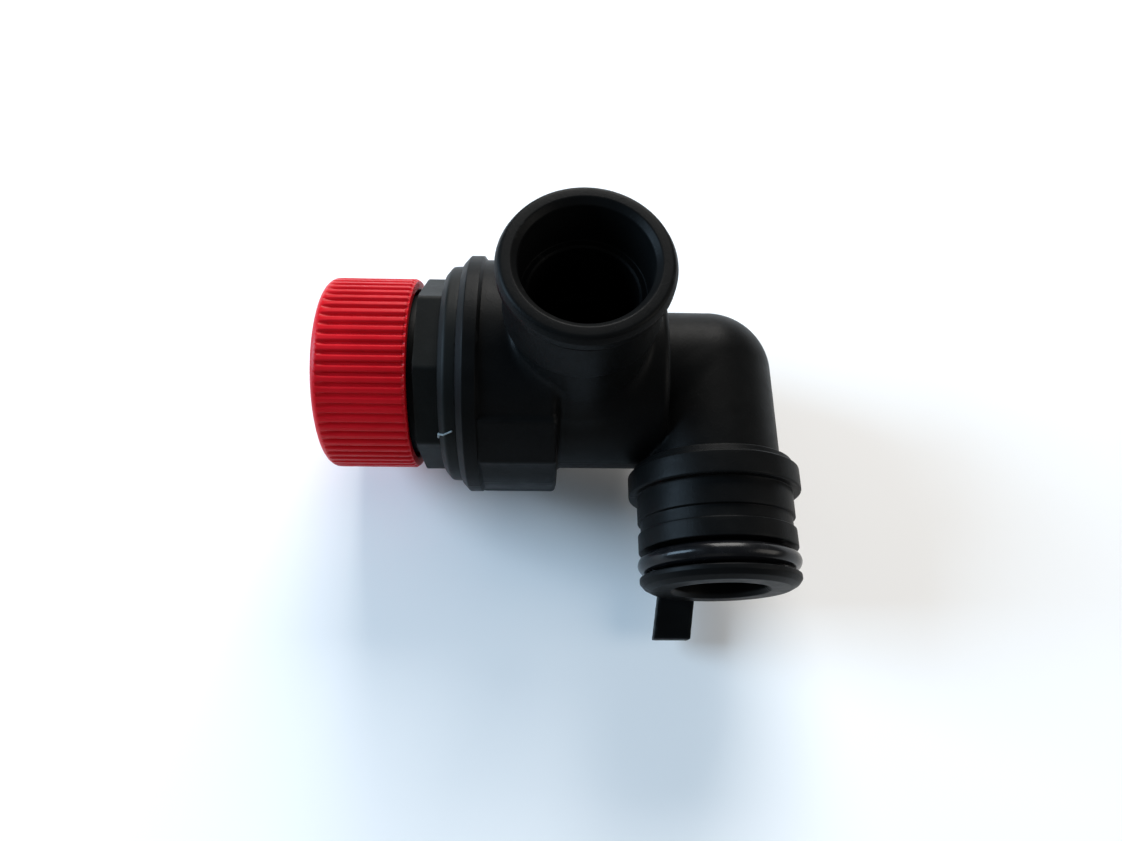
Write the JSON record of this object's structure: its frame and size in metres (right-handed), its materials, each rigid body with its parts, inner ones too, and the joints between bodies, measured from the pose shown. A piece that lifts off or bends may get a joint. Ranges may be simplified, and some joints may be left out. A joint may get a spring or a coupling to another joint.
{
  "type": "safety valve",
  "caption": "Plug-in safety valve with a black moulded elbow body, a red ribbed test knob, a hose-tail outlet and an O-ring sealed inlet spigot.",
  "frame": {"origin": "on the inlet spigot's axis, in the collar face that seats on the socket", "axes": "+X from the knob towards the elbow along the valve's main axis, +Y from the spigot towards the elbow, +Z along the hose outlet"},
  "size_m": [0.07, 0.0566, 0.0499],
  "materials": {
    "body_plastic": "satin black glass-filled nylon, finely grained",
    "bonnet_plastic": "satin black glass-filled nylon",
    "o_ring_rubber": "greased black EPDM",
    "knob_plastic": "semi-gloss signal red",
    "cap_plastic": "semi-gloss red, fine radial grain",
    "stem_brass": "turned brass",
    "holder_plastic": "black glass-filled nylon",
    "plate_brass": "turned brass",
    "nut_brass": "machined brass",
    "washer_steel": "stamped stainless steel",
    "clip_steel": "phosphated spring steel",
    "screw_steel": "stainless steel",
    "cup_steel": "zinc plated steel",
    "spring_steel": "drawn spring wire",
    "seal_rubber": "moulded EPDM",
    "diaphragm_rubber": "fabric reinforced EPDM",
    "slip_ring_plastic": "natural acetal",
    "adjuster_plastic": "natural glass-filled nylon",
    "bush_plastic": "natural acetal"
  },
  "bodies": {
    "body": {"valve_body": "body_plastic", "inlet_o_ring": "o_ring_rubber", "bonnet": "bonnet_plastic", "diaphragm": "diaphragm_rubber", "diaphragm_slip_ring": "slip_ring_plastic", "spring": "spring_steel", "upper_spring_washer": "washer_steel", "adjusting_nut": "adjuster_plastic", "stem_bush": "bush_plastic"},
    "stem_set": {"stem": "stem_brass", "stem_nut": "nut_brass", "disc_holder": "holder_plastic", "seal_disc": "seal_rubber", "seal_disc_washer": "washer_steel", "seal_disc_screw": "screw_steel", "diaphragm_plate": "plate_brass", "lower_spring_cup": "cup_steel", "knob_washer": "washer_steel", "knob_clip": "clip_steel"},
    "knob": {"knob": "knob_plastic", "knob_cap": "cap_plastic"}
  },
  "joints": [
    {"name": "stem_lift", "type": "slide", "parent": "body", "child": "stem_set", "axis": [-1, 0, 0], "range_m": [0, 0.0027], "deforming": ["spring", "diaphragm"]},
    {"name": "knob_turn", "type": "hinge", "parent": "stem_set", "child": "knob", "pos_m": [-0.05124, 0.01958, 0], "axis": [-1, 0, 0], "range_deg": [0, 90]}
  ],
  "couplings": [
    {"joint": "knob_turn", "follows": "stem_lift", "rad_per_m": 581.78}
  ]
}
